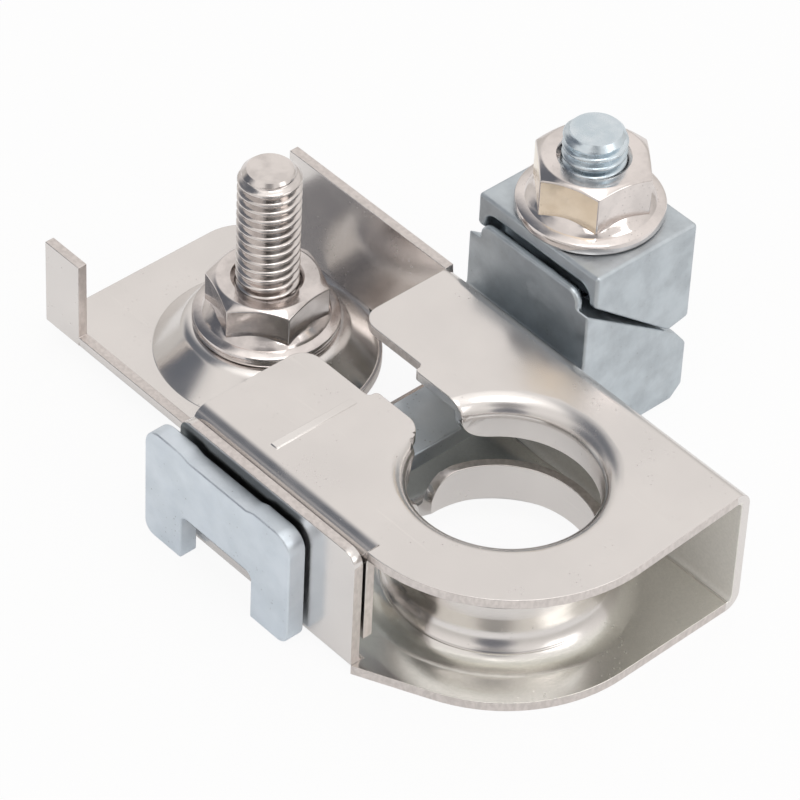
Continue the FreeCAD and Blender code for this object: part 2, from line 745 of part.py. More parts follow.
def build_nut(name, centre, seat, shank, turn):
    """Hexagon flange nut that sits on a seat round a threaded shank."""
    body = new_body(name)
    place = {"across": centre[0], "out": f"-{centre[1]}"}
    bore = f"({shank} + sizes.thread_clearance)"
    low = f"({seat} + sizes.seat_clearance)"
    high = f"({low} + sizes.nut_height)"
    half = "(sizes.nut_flats / 2)"
    corner = "(sizes.nut_flats / sqrt(3))"

    flange = new_sketch(body, "XZ_Plane", "flange_profile", **place)
    add_outline(flange, [
        (bore, low),
        ("sizes.flange_radius", low),
        ("sizes.flange_radius", f"{low} + sizes.flange_rim"),
        (half, f"{low} + sizes.flange_rise"),
        (bore, f"{low} + sizes.flange_rise"),
    ])
    revolve(body, flange, "flange")

    hexagon = new_sketch(body, "XY_Plane", "hexagon", *centre, low)
    add_outline(hexagon, [
        (f"{corner} * cos({turn} + {step})", f"{corner} * sin({turn} + {step})")
        for step in range(0, 360, 60)
    ])
    pad(body, hexagon, "hexagon_head", "sizes.nut_height")

    hole = new_sketch(body, "XY_Plane", "bore_circle", *centre)
    add_circle(hole, bore)
    pocket(body, hole, "thread_bore")

    inset = f"({half} - sizes.nut_chamfer_inset)"
    drop = f"({corner} - {inset}) * tan(sizes.nut_chamfer_angle)"
    corners = new_sketch(body, "XZ_Plane", "corner_cut", **place)
    add_outline(corners, [
        (inset, high),
        (corner, f"{high} - {drop}"),
        (f"{corner} + sizes.nut_height", f"{high} - {drop}"),
        (f"{corner} + sizes.nut_height", f"{high} + sizes.nut_height"),
        (inset, f"{high} + sizes.nut_height"),
    ])
    revolve(body, corners, "corner_chamfer", cut=True)

    sink = new_sketch(body, "XZ_Plane", "countersink_cut", **place)
    add_outline(sink, [
        ("0", high),
        (f"{bore} + sizes.nut_countersink", high),
        (bore, f"{high} - sizes.nut_countersink"),
        ("0", f"{high} - sizes.nut_countersink"),
    ])
    revolve(body, sink, "countersink", cut=True)
    return body


def build_pull_bar():
    """Strip that crosses the box: hooked head outside the left wall, eye under the wedges."""
    body = new_body("pull_bar")
    middle = "-sizes.bar_place"
    half = "(sizes.head_length / 2)"
    notch = "(sizes.root_width / 2)"
    hollow = "(sizes.head_hollow_length / 2)"
    left = f"{middle} - {half}"
    right = f"{middle} + {half}"

    head = new_sketch(body, "XZ_Plane", "head_outline", out=HEAD_BACK)
    add_outline(head, [
        (left, "sizes.head_top", "sizes.head_corner"),
        (left, "sizes.ground_clearance", "sizes.lug_corner"),
        (f"{middle} - {notch}", "sizes.ground_clearance"),
        (f"{middle} - {notch}", NOTCH_TOP, "sizes.notch_corner"),
        (f"{middle} + {notch}", NOTCH_TOP, "sizes.notch_corner"),
        (f"{middle} + {notch}", "sizes.ground_clearance"),
        (right, "sizes.ground_clearance", "sizes.lug_corner"),
        (right, "sizes.head_top", "sizes.head_corner"),
        (f"{middle} + {hollow}", "sizes.head_top"),
        (f"{middle} + {hollow} - sizes.head_hollow_ramp", "sizes.head_top - sizes.head_hollow"),
        (f"{middle} - {hollow} + sizes.head_hollow_ramp", "sizes.head_top - sizes.head_hollow"),
        (f"{middle} - {hollow}", "sizes.head_top"),
    ])
    pad(body, head, "head", "sizes.bar_thickness")

    root = new_sketch(body, "YZ_Plane", "root_section", out=f"{middle} - {notch}")
    add_outline(root, [
        (f"-{HEAD_FRONT}", f"{NOTCH_TOP} + sizes.root_rise"),
        (f"-{HEAD_FRONT}", "sizes.bar_low", "sizes.bar_thickness"),
        (f"-{HEAD_BACK} + sizes.root_length", "sizes.bar_low"),
        (f"-{HEAD_BACK} + sizes.root_length", BAR_TOP),
        (f"-{HEAD_BACK}", BAR_TOP),
        (f"-{HEAD_BACK}", f"{NOTCH_TOP} + sizes.root_rise"),
    ])
    pad(body, root, "root", "sizes.root_width")

    waist = "(sizes.bar_width / 2)"
    eye = "(sizes.eye_width / 2)"
    start = f"-{HEAD_BACK} + sizes.root_length / 2"
    end = f"{BOLT_SIDE} + sizes.eye_end"
    strip = new_sketch(body, "XY_Plane", "strip_outline", out="sizes.bar_low")
    add_outline(strip, [
        (f"{middle} - {waist}", start),
        (f"{middle} + {waist}", start),
        (f"{middle} + {waist}", EYE_START),
        (f"{middle} + {eye}", EYE_START, "sizes.eye_corner"),
        (f"{middle} + {eye}", end, "sizes.eye_corner"),
        (f"{middle} - {eye}", end, "sizes.eye_corner"),
        (f"{middle} - {eye}", EYE_START, "sizes.eye_corner"),
        (f"{middle} - {waist}", EYE_START),
    ])
    pad(body, strip, "strip", "sizes.bar_thickness")

    hole = new_sketch(body, "XY_Plane", "bolt_hole_circle")
    add_circle(hole, "sizes.bolt_radius + sizes.thread_clearance", (middle, BOLT_SIDE))
    pocket(body, hole, "bolt_hole")
    return body


def build_bolt():
    """Wedge bolt: square head under the bar, shank up through both wedge blocks."""
    body = new_body("wedge_bolt")
    head = new_sketch(
        body, "XY_Plane", "head_outline", "-sizes.bar_place", BOLT_SIDE,
        "sizes.bar_low - sizes.bolt_head_thickness",
    )
    half = "(sizes.bolt_head_width / 2)"
    add_outline(head, rectangle(f"-{half}", f"-{half}", half, half))
    pad(body, head, "head", "sizes.bolt_head_thickness")
    shank = new_sketch(body, "XZ_Plane", "shank_profile", "-sizes.bar_place", "0", f"-{BOLT_SIDE}")
    add_outline(shank, [
        ("0", "sizes.bar_low - sizes.bolt_head_thickness / 2"),
        ("sizes.bolt_radius", "sizes.bar_low - sizes.bolt_head_thickness / 2"),
        ("sizes.bolt_radius", f"{BOLT_TOP} - sizes.bolt_chamfer"),
        ("sizes.bolt_radius - sizes.bolt_chamfer", BOLT_TOP),
        ("0", BOLT_TOP),
    ])
    revolve(body, shank, "shank")
    return body


def lower_slope_height(side):
    """Height of the lower block's slanted top at a place across the block."""
    contact = "(sizes.toe_height - sizes.slope_clearance)"
    return f"({contact} + ({TOE_INNER} - ({side})) * tan(sizes.lower_slope))"


def wedge_length_ends(inset="0"):
    """Rear and front ends of the wedge blocks, drawn in by an inset."""
    half = f"(sizes.wedge_length / 2 - ({inset}))"
    return f"-sizes.bar_place - {half}", f"-sizes.bar_place + {half}"


def build_lower_wedge():
    """Lower block: foot against the box wall, slanted top, channel for the bar below."""
    body = new_body("lower_wedge")
    rear = wedge_length_ends()[0]
    shoulder = f"({WEDGE_OUTER} - sizes.lower_shoulder)"
    section = new_sketch(body, "YZ_Plane", "block_section", out=rear)
    add_outline(section, [
        ("sizes.box_right", "sizes.ground_clearance"),
        (f"{WEDGE_OUTER} - sizes.lower_corner", "sizes.ground_clearance"),
        (WEDGE_OUTER, "sizes.ground_clearance + sizes.lower_corner"),
        (WEDGE_OUTER, f"{lower_slope_height(shoulder)} - sizes.shoulder_drop"),
        (shoulder, lower_slope_height(shoulder)),
        (LOWER_INNER, lower_slope_height(LOWER_INNER)),
        (LOWER_INNER, "sizes.foot_top"),
        ("sizes.box_right", "sizes.foot_top - sizes.foot_bevel"),
    ])
    pad(body, section, "block", "sizes.wedge_length")

    rear, front = wedge_length_ends("sizes.leg_width + sizes.lip_clearance")
    lip = new_sketch(body, "XZ_Plane", "lip_outline", out=f"-{LOWER_INNER} - sizes.lip_thickness")
    root = f"{lower_slope_height(LOWER_INNER)} - sizes.lip_depth"
    add_outline(lip, [
        (rear, root),
        (front, root),
        (front, LIP_TOP, "sizes.lip_corner"),
        (rear, LIP_TOP, "sizes.lip_corner"),
    ])
    pad(body, lip, "inner_lip", "sizes.lip_thickness")

    channel = new_sketch(body, "XZ_Plane", "channel_outline")
    half = f"({CHANNEL_WIDTH} / 2)"
    add_outline(channel, rectangle(
        f"-sizes.bar_place - {half}", "0",
        f"-sizes.bar_place + {half}", f"{BAR_TOP} + sizes.seat_clearance",
    ))
    pocket(body, channel, "bar_channel", f"{WEDGE_OUTER} - sizes.channel_wall")

    slot = new_sketch(body, "XY_Plane", "bolt_slot_outline", "-sizes.bar_place", BOLT_SIDE)
    radius = BOLT_SLOT_RADIUS
    rounding = f"({radius} - sizes.slot_end_flat / 2)"
    near_end = f"-{radius} - sizes.bolt_travel"
    add_outline(slot, [
        (f"-{radius}", near_end, rounding),
        (radius, near_end, rounding),
        (radius, radius, rounding),
        (f"-{radius}", radius, rounding),
    ])
    pocket(body, slot, "bolt_slot")
    return body


def build_upper_wedge():
    """Upper block: flat top for the nut, slanted underside, recess for the lower block's lip."""
    body = new_body("upper_wedge")
    rear = wedge_length_ends()[0]
    rise = f"({TOE_INNER} - {UPPER_INNER}) * tan(sizes.upper_slope)"
    section = new_sketch(body, "YZ_Plane", "block_section", out=rear)
    add_outline(section, [
        (UPPER_INNER, f"sizes.toe_height + {rise}"),
        (TOE_INNER, "sizes.toe_height"),
        (WEDGE_OUTER, "sizes.toe_height + sizes.toe_rise"),
        (WEDGE_OUTER, "sizes.wedge_top"),
        (UPPER_INNER, "sizes.wedge_top"),
    ])
    pad(body, section, "block", "sizes.wedge_length")

    rear, front = wedge_length_ends("sizes.leg_width")
    recess = new_sketch(body, "XZ_Plane", "recess_outline", out=f"-{UPPER_INNER}")
    add_outline(recess, [
        (rear, "sizes.toe_height"),
        (front, "sizes.toe_height"),
        (front, f"{LIP_TOP} + sizes.lip_clearance", "sizes.lip_corner"),
        (rear, f"{LIP_TOP} + sizes.lip_clearance", "sizes.lip_corner"),
    ])
    pocket(body, recess, "lip_recess", "sizes.recess_depth")

    hole = new_sketch(body, "XY_Plane", "bolt_hole_circle")
    add_circle(hole, BOLT_SLOT_RADIUS, ("-sizes.bar_place", BOLT_SIDE))
    pocket(body, hole, "bolt_hole")
    return body


pieces = [
    build_clamp_body(),
    build_stud(),
    build_nut("cable_nut", STUD_PLACE, BOSS_TOP, "sizes.stud_radius", "sizes.cable_nut_turn"),
    build_pull_bar(),
    build_bolt(),
    build_lower_wedge(),
    build_upper_wedge(),
    build_nut("wedge_nut", BOLT_PLACE, "sizes.wedge_top", "sizes.bolt_radius", "sizes.wedge_nut_turn"),
]

document.recompute()
for item in document.Objects:
    if "Invalid" in item.State or "Error" in item.State:
        raise RuntimeError(f"{item.Name} is {item.State}")
for piece in pieces:
    if piece.Shape.isNull() or not piece.Shape.isValid():
        raise RuntimeError(f"{piece.Label} has no valid shape")
os.makedirs("parts", exist_ok=True)
for piece in pieces:
    shape = piece.Shape
    print(piece.Label, len(shape.Solids), round(shape.Volume, 2), shape.BoundBox)
    shape.exportStep(f"parts/{piece.Label}.step")
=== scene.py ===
import math

import bmesh
import bpy
from mathutils import Matrix, Vector
from mathutils.bvhtree import BVHTree


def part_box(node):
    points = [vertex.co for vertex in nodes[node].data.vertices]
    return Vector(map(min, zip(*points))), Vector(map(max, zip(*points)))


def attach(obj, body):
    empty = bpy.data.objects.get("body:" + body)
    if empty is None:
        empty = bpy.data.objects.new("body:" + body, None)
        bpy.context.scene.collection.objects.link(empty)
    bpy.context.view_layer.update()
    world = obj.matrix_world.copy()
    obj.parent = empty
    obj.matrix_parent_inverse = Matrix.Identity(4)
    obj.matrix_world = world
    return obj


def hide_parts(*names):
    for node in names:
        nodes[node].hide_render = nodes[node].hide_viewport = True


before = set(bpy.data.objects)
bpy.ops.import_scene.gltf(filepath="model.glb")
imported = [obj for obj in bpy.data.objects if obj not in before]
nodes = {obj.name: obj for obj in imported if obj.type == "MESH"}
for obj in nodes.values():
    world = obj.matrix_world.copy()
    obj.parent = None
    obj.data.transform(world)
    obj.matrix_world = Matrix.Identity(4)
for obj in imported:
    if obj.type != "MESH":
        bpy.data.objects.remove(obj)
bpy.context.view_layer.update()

MM = 0.001

# Real sizes of the clamp; the frame's zero height is half way up the box.
BOX_HEIGHT = 13.8 * MM
UNDERSIDE = -BOX_HEIGHT / 2
BOX_TOP = UNDERSIDE + BOX_HEIGHT
SHEET = 1.0 * MM
PLATE_LIFT = 1.0 * MM
COLLAR_RADIUS = 9.53 * MM
COLLAR_ENDS = (  # slot edge, way to the collar, height of the free edge, way to the foot, radius
    (-0.3 * MM, 1, 6.4 * MM, -1, 3.0 * MM),
    (-1.9 * MM, -1, 6.4 * MM, -1, 3.0 * MM),
    (2.5 * MM, 1, 9.8 * MM, 1, 2.5 * MM),
)
COLLAR_STEP_HEIGHT = 5.12 * MM
COLLAR_STEP_RADIUS = 9.41 * MM
EASED_STEP_RADIUS = 9.51 * MM
RIB_CORNERS = Vector((-15.4, -13.6)) * MM, Vector((-14.4, -4.2)) * MM
STUD_AXIS = Vector((-35.25, 3.25, 0)) * MM
BOLT_AXIS = Vector((-15.5, 24.0, 0)) * MM
BOSS_TOP = UNDERSIDE + 5.2 * MM
WEDGE_TOP = UNDERSIDE + 20.5 * MM
STUD_HEAD_RADIUS = 5.2 * MM
BOLT_HEAD_HEIGHT = 2.4 * MM
THREAD_CREST = 2.95 * MM
THREAD_PITCH = 1.0 * MM
THREAD_DEPTH = 0.61 * MM
HALF_CREST, FLANK = 0.07, 0.38  # shares of the pitch
ROWS_PER_PITCH = 16
NUT_SEAT = 0.05 * MM
NUT_HEIGHT = 6.0 * MM
CABLE_NUT_HEIGHT = NUT_HEIGHT - 0.8 * MM
NUT_FLATS = 10.0 * MM
FLANGE_RADIUS = 6.85 * MM


# Camera

CAMERA_TARGET = Vector((-18.66, 4.82, -0.9)) * MM
CAMERA_AZIMUTH = math.radians(46.33)
CAMERA_ELEVATION = math.radians(42.34)
CAMERA_ROLL = math.radians(2.96)
CAMERA_DISTANCE = 428.5 * MM
CAMERA_LENS = 215.0


def camera_axes():
    """Right, up and backward directions of the camera."""
    a, e, roll = CAMERA_AZIMUTH, CAMERA_ELEVATION, CAMERA_ROLL
    right = Vector((math.cos(a), math.sin(a), 0))
    back = Vector((math.sin(a) * math.cos(e), -math.cos(a) * math.cos(e), math.sin(e)))
    up = back.cross(right)
    rolled_right = right * math.cos(roll) + up * math.sin(roll)
    rolled_up = up * math.cos(roll) - right * math.sin(roll)
    return rolled_right, rolled_up, back


def add_camera():
    """Long lens at the photograph's angle."""
    right, up, back = camera_axes()
    data = bpy.data.cameras.new("camera")
    data.lens = CAMERA_LENS
    data.sensor_width = 36
    data.clip_start = 0.01
    camera = bpy.data.objects.new("camera", data)
    turn = Matrix((right, up, back)).transposed().to_4x4()
    camera.matrix_world = Matrix.Translation(CAMERA_TARGET + back * CAMERA_DISTANCE) @ turn
    bpy.context.scene.collection.objects.link(camera)
    bpy.context.scene.camera = camera


# Modelling helpers

MERGE_DISTANCE = 0.001 * MM
FLAT_ANGLE = math.radians(1.0)


def only(piece):
    """Deselect everything, then select and activate one piece."""
    bpy.ops.object.select_all(action="DESELECT")
    piece.select_set(True)
    bpy.context.view_layer.objects.active = piece


def named(name):
    """Give the new active object its name."""
    piece = bpy.context.object
    piece.name = name
    piece.data.name = name
    return piece


def settle(piece):
    """Put a piece's place, turn and size into its mesh."""
    only(piece)
    bpy.ops.object.transform_apply(location=True, rotation=True, scale=True)
    return piece


def copy_node(node, name, merge=MERGE_DISTANCE):
    """Copy of a node's mesh with its loose triangles merged and flat faces joined."""
    piece = bpy.data.objects.new(name, nodes[node].data.copy())
    piece.data.name = name
    bpy.context.scene.collection.objects.link(piece)
    only(piece)
    piece.data.materials.clear()
    bpy.ops.object.mode_set(mode="EDIT")
    bpy.ops.mesh.select_all(action="SELECT")
    bpy.ops.mesh.remove_doubles(threshold=merge)
    bpy.ops.mesh.dissolve_limited(angle_limit=FLAT_ANGLE)
    bpy.ops.object.mode_set(mode="OBJECT")
    return piece


def apply_modifier(piece, kind, name, **settings):
    """Add a modifier with its settings and apply it."""
    only(piece)
    modifier = piece.modifiers.new(name, kind)
    for key, value in settings.items():
        setattr(modifier, key, value)
    bpy.ops.object.modifier_apply(modifier=modifier.name)


def break_edges(piece, width, segments=2, angle=35):
    """Round the sharp edges a little."""
    apply_modifier(
        piece, "BEVEL", "edge_break", width=width, segments=segments, limit_method="ANGLE",
        angle_limit=math.radians(angle), use_clamp_overlap=False, miter_outer="MITER_ARC",
        loop_slide=False,
    )


def pull_in(piece, node, slack, leave=None):
    """Bring corners that the rounding threw off the solid back onto it, except where told."""
    mesh = bmesh.new()
    mesh.from_mesh(nodes[node].data)
    solid = BVHTree.FromBMesh(mesh)
    mesh.free()
    for vertex in piece.data.vertices:
        place, _, _, gap = solid.find_nearest(vertex.co)
        if gap > slack and not (leave and leave(vertex.co)):
            vertex.co = place
        vertex.co.z = max(vertex.co.z, UNDERSIDE)


def smooth(piece, angle):
    """Smooth shading, split at edges sharper than the angle, led by the large faces."""
    only(piece)
    bpy.ops.object.shade_smooth_by_angle(angle=math.radians(angle))
    apply_modifier(piece, "WEIGHTED_NORMAL", "even_shading", keep_sharp=True)


def combine(piece, other, operation):
    """Boolean of two pieces; the other one is used up."""
    apply_modifier(piece, "BOOLEAN", "join", operation=operation, object=other, solver="EXACT")
    bpy.data.objects.remove(other)


def polyline(name, points):
    """Mesh of one line through points, extruded from a single vertex."""
    bpy.ops.object.select_all(action="DESELECT")
    bpy.ops.mesh.primitive_plane_add(size=MM)
    piece = named(name)
    bpy.ops.object.mode_set(mode="EDIT")
    bpy.ops.mesh.select_all(action="SELECT")
    bpy.ops.mesh.merge(type="CENTER")
    bpy.ops.transform.translate(value=points[0])
    for before, after in zip(points, points[1:]):
        step = Vector(after) - Vector(before)
        bpy.ops.mesh.extrude_region_move(TRANSFORM_OT_translate={"value": step})
    bpy.ops.object.mode_set(mode="OBJECT")
    return piece


def lathe(name, profile, centre=(0, 0, 0), steps=96):
    """Profile of radius and height, spun once round an upright axis; it may start on the axis."""
    points = [(radius, 0, height) for radius, height in profile]
    ring = points[:1] if profile[0][0] > 0 else []
    piece = polyline(name, points + ring)
    bpy.ops.object.mode_set(mode="EDIT")
    bpy.ops.mesh.select_all(action="SELECT")
    bpy.ops.mesh.spin(steps=steps, angle=math.tau, center=(0, 0, 0), axis=(0, 0, 1))
    bpy.ops.mesh.select_all(action="SELECT")
    bpy.ops.mesh.remove_doubles(threshold=MERGE_DISTANCE)
    bpy.ops.mesh.normals_make_consistent(inside=False)
    bpy.ops.object.mode_set(mode="OBJECT")
    piece.location = centre
    return settle(piece)


# Shader helpers

def add_node(tree, kind, **settings):
    """Shader node with its settings."""
    node = tree.nodes.new(kind)
    for key, value in settings.items():
        setattr(node, key, value)
    return node


def feed(tree, value, socket):
    """Link another node's socket to an input, or set the input to a plain value."""
    if isinstance(value, bpy.types.NodeSocket):
        tree.links.new(value, socket)
    else:
        socket.default_value = value


def math_node(tree, operation, *values):
    """Math node fed by sockets or plain numbers."""
    node = add_node(tree, "ShaderNodeMath", operation=operation)
    for value, socket in zip(values, node.inputs):
        feed(tree, value, socket)
    return node.outputs[0]


def times(tree, first, second):
    """Product of two sockets or numbers."""
    return math_node(tree, "MULTIPLY", first, second)


def remap(tree, value, low, high, to_low=0.0, to_high=1.0):
    """Map Range from low..high to to_low..to_high, with soft ends."""
    node = add_node(tree, "ShaderNodeMapRange", interpolation_type="SMOOTHSTEP")
    limits = {"From Min": low, "From Max": high, "To Min": to_low, "To Max": to_high}
    for name, setting in {"Value": value, **limits}.items():
        feed(tree, setting, node.inputs[name])
    return node.outputs["Result"]


def noise(tree, vector, scale, detail=3.0, roughness=0.55):
    """Noise texture on a vector."""
    node = add_node(tree, "ShaderNodeTexNoise")
    settings = {"Vector": vector, "Scale": scale, "Detail": detail, "Roughness": roughness}
    for name, setting in settings.items():
        feed(tree, setting, node.inputs[name])
    return node.outputs["Fac"]


def mix_colours(tree, factor, first, second):
    """Colour between two colours or sockets."""
    node = add_node(tree, "ShaderNodeMix", data_type="RGBA")
    for name, kind, value in (
        ("Factor", "VALUE", factor), ("A", "RGBA", first), ("B", "RGBA", second),
    ):
        socket = next(s for s in node.inputs if s.name == name and s.type == kind)
        feed(tree, (*value, 1) if isinstance(value, tuple) else value, socket)
    return next(s for s in node.outputs if s.type == "RGBA")


def new_group(name, inputs):
    """Empty shader group with named float or vector inputs, which puts out one mask."""
    group = bpy.data.node_groups.new(name, "ShaderNodeTree")
    for label, kind, value in inputs:
        socket = group.interface.new_socket(label, in_out="INPUT", socket_type=f"NodeSocket{kind}")
        if value is not None:
            socket.default_value = value
    group.interface.new_socket("Mask", in_out="OUTPUT", socket_type="NodeSocketFloat")
    return group, add_node(group, "NodeGroupInput").outputs, add_node(group, "NodeGroupOutput")


def use_group(tree, group, **values):
    """Place a group in a material, set its inputs and give its mask."""
    node = add_node(tree, "ShaderNodeGroup", node_tree=group)
    for key, value in values.items():
        feed(tree, value, node.inputs[key.capitalize()])
    return node.outputs["Mask"]


def speck_group():
    """Sparse dark specks and pits, as in plating."""
    group, given, result = new_group(
        "specks",
        [("Vector", "Vector", None), ("Density", "Float", 900.0), ("Amount", "Float", 0.5)],
    )
    cells = add_node(group, "ShaderNodeTexVoronoi", feature="F1")
    feed(group, given["Vector"], cells.inputs["Vector"])
    feed(group, given["Density"], cells.inputs["Scale"])
    near_spot = remap(group, cells.outputs["Distance"], 0.05, 0.22, 1.0, 0.0)
    where = remap(group, noise(group, given["Vector"], 260.0, 2.0), 0.5, 0.68)
    mask = times(group, times(group, near_spot, where), given["Amount"])
    feed(group, mask, result.inputs["Mask"])
    return group


def scratch_group():
    """Thin straight scratches in two directions."""
    group, given, result = new_group(
        "scratches", [("Vector", "Vector", None), ("Amount", "Float", 0.5)],
    )
    lines = []
    for turn, along, across, seed in ((0.5, 60.0, 5200.0, 3.1), (-0.9, 45.0, 4300.0, 8.7)):
        mapping = add_node(group, "ShaderNodeMapping")
        feed(group, given["Vector"], mapping.inputs["Vector"])
        mapping.inputs["Rotation"].default_value = (0.2 * turn, 0.1, turn)
        mapping.inputs["Location"].default_value = (seed, seed, seed)
        mapping.inputs["Scale"].default_value = (along, across, across)
        lines.append(remap(group, noise(group, mapping.outputs["Vector"], 1.0, 1.0), 0.71, 0.78))
    mask = times(group, math_node(group, "MAXIMUM", *lines), given["Amount"])
    feed(group, mask, result.inputs["Mask"])
    return group


def wear_group():
    """Mask of the edges, from the difference between a rounded and the true normal."""
    group, given, result = new_group(
        "edge_wear",
        [("Vector", "Vector", None), ("Reach", "Float", 0.0003), ("Breakup", "Float", 900.0)],
    )
    rounded = add_node(group, "ShaderNodeBevel", samples=6)
    feed(group, given["Reach"], rounded.inputs["Radius"])
    true_normal = add_node(group, "ShaderNodeNewGeometry")
    likeness = add_node(group, "ShaderNodeVectorMath", operation="DOT_PRODUCT")
    feed(group, rounded.outputs["Normal"], likeness.inputs[0])
    feed(group, true_normal.outputs["Normal"], likeness.inputs[1])
    edge = remap(group, likeness.outputs["Value"], 0.80, 0.985, 1.0, 0.0)
    broken = remap(group, noise(group, given["Vector"], given["Breakup"], 2.0, 0.5), 0.35, 0.6)
    feed(group, times(group, edge, broken), result.inputs["Mask"])
    return group


SPECKS = speck_group()
SCRATCHES = scratch_group()
WEAR = wear_group()


class Finish:
    """A metal material: principled shader fed by masks, with one chain of bumps."""

    def __init__(self, name):
        self.material = bpy.data.materials.new(name)
        self.material.use_nodes = True
        self.tree = self.material.node_tree
        self.shader = self.tree.nodes["Principled BSDF"]
        self.shader.inputs["Metallic"].default_value = 1.0
        self.vector = add_node(self.tree, "ShaderNodeTexCoord").outputs["Object"]
        self.normal = None

    def colour(self, socket):
        feed(self.tree, socket, self.shader.inputs["Base Color"])

    def roughness(self, socket):
        feed(self.tree, socket, self.shader.inputs["Roughness"])

    def metallic(self, socket):
        feed(self.tree, socket, self.shader.inputs["Metallic"])

    def bump(self, height, distance, strength):
        """Add a bump, with its depth in millimetres, on top of those before it."""
        node = add_node(self.tree, "ShaderNodeBump")
        node.inputs["Distance"].default_value = distance * MM
        node.inputs["Strength"].default_value = strength
        feed(self.tree, height, node.inputs["Height"])
        if self.normal is not None:
            feed(self.tree, self.normal, node.inputs["Normal"])
        self.normal = node.outputs["Normal"]
        feed(self.tree, self.normal, self.shader.inputs["Normal"])

    def mix(self, factor, first, second):
        """Colour between two colours."""
        return mix_colours(self.tree, factor, first, second)

    def noise(self, scale, detail, roughness=0.55):
        """Noise that stays on the piece."""
        return noise(self.tree, self.vector, scale, detail, roughness)

    def cloud(self, scale, detail, low, high, to_low=0.0, to_high=1.0):
        """Noise on the piece, spread from low..high to to_low..to_high."""
        return remap(self.tree, self.noise(scale, detail), low, high, to_low, to_high)

    def specks(self, density, amount):
        """Mask of specks in the plating."""
        return use_group(self.tree, SPECKS, vector=self.vector, density=density, amount=amount)

    def wear(self, reach, breakup):
        """Mask of worn edges, with its reach in millimetres."""
        return use_group(self.tree, WEAR, vector=self.vector, reach=reach * MM, breakup=breakup)

    def parts(self):
        """Separate X, Y and Z, and the distance from the bore's axis."""
        split = add_node(self.tree, "ShaderNodeSeparateXYZ")
        feed(self.tree, self.vector, split.inputs[0])
        flat = add_node(self.tree, "ShaderNodeVectorMath", operation="MULTIPLY")
        feed(self.tree, self.vector, flat.inputs[0])
        flat.inputs[1].default_value = (1, 1, 0)
        reach = add_node(self.tree, "ShaderNodeVectorMath", operation="LENGTH")
        feed(self.tree, flat.outputs[0], reach.inputs[0])
        return split.outputs["X"], split.outputs["Y"], split.outputs["Z"], reach.outputs["Value"]

    def rise(self, value, low, high):
        """0 up to low and 1 from high on, in millimetres."""
        return remap(self.tree, value, low * MM, high * MM)

    def fall(self, value, low, high):
        """1 up to low and 0 from high on, in millimetres."""
        return remap(self.tree, value, low * MM, high * MM, 1.0, 0.0)

    def between(self, *limits):
        """1 where each value lies between its limits in millimetres, with the given fade."""
        mask = 1.0
        for value, low, high, fade in limits:
            mask = times(self.tree, mask, self.rise(value, low - fade, low))
            mask = times(self.tree, mask, self.fall(value, high, high + fade))
        return mask

    def stretched(self, scale):
        """Object coordinates scaled by axis."""
        mapping = add_node(self.tree, "ShaderNodeMapping")
        feed(self.tree, self.vector, mapping.inputs["Vector"])
        mapping.inputs["Scale"].default_value = scale
        return mapping.outputs["Vector"]


# Finishes, with pairs of colours between which the metal wanders

TIN = (0.815, 0.785, 0.765), (0.77, 0.742, 0.725)
# painted light: lighter tin inside the box, standing in for the light that brightens its inner
# walls and floor
TIN_INSIDE_PAINTED_LIGHT = (0.90, 0.885, 0.84), (0.84, 0.83, 0.785)
TIN_SPECK = (0.40, 0.375, 0.35)
TIN_SCRATCH = (0.88, 0.85, 0.82)
# painted highlight: lighter colour along the top of the stamped rib
RIB_HIGHLIGHT = (0.94, 0.92, 0.90)
# painted shade: dark colour in the crease where the bottom collar's flare meets the plate
CREASE_SHADE = (0.30, 0.28, 0.26)
# painted shade: dark colour that stands in for the shadow on the outer wall behind the T-head
PAINTED_SHADE_BEHIND_HEAD = (0.13, 0.14, 0.135)
CUT_STEEL = (0.66, 0.615, 0.59), (0.80, 0.75, 0.725)
CUT_NICK = (0.26, 0.24, 0.23)
NICKEL = (0.84, 0.785, 0.76), (0.70, 0.655, 0.635)
DULL_NICKEL = (0.78, 0.73, 0.71), (0.60, 0.56, 0.545)
# painted reflection: warm golden nickel for one flat of the wedge nut
GOLD_REFLECTION = (0.97, 0.87, 0.72), (0.86, 0.75, 0.60)
NICKEL_SPECK = (0.22, 0.20, 0.19)
STUD_STEEL = (0.80, 0.755, 0.73), (0.66, 0.62, 0.60)
ZINC = (0.61, 0.665, 0.705), (0.50, 0.545, 0.58)
PALE_ZINC = (0.76, 0.825, 0.89), (0.70, 0.765, 0.825)
ZINC_SPECK = (0.25, 0.26, 0.27)
ZINC_WORN = (0.74, 0.76, 0.78)
BOLT_ZINC = (0.76, 0.83, 0.88), (0.62, 0.71, 0.77)


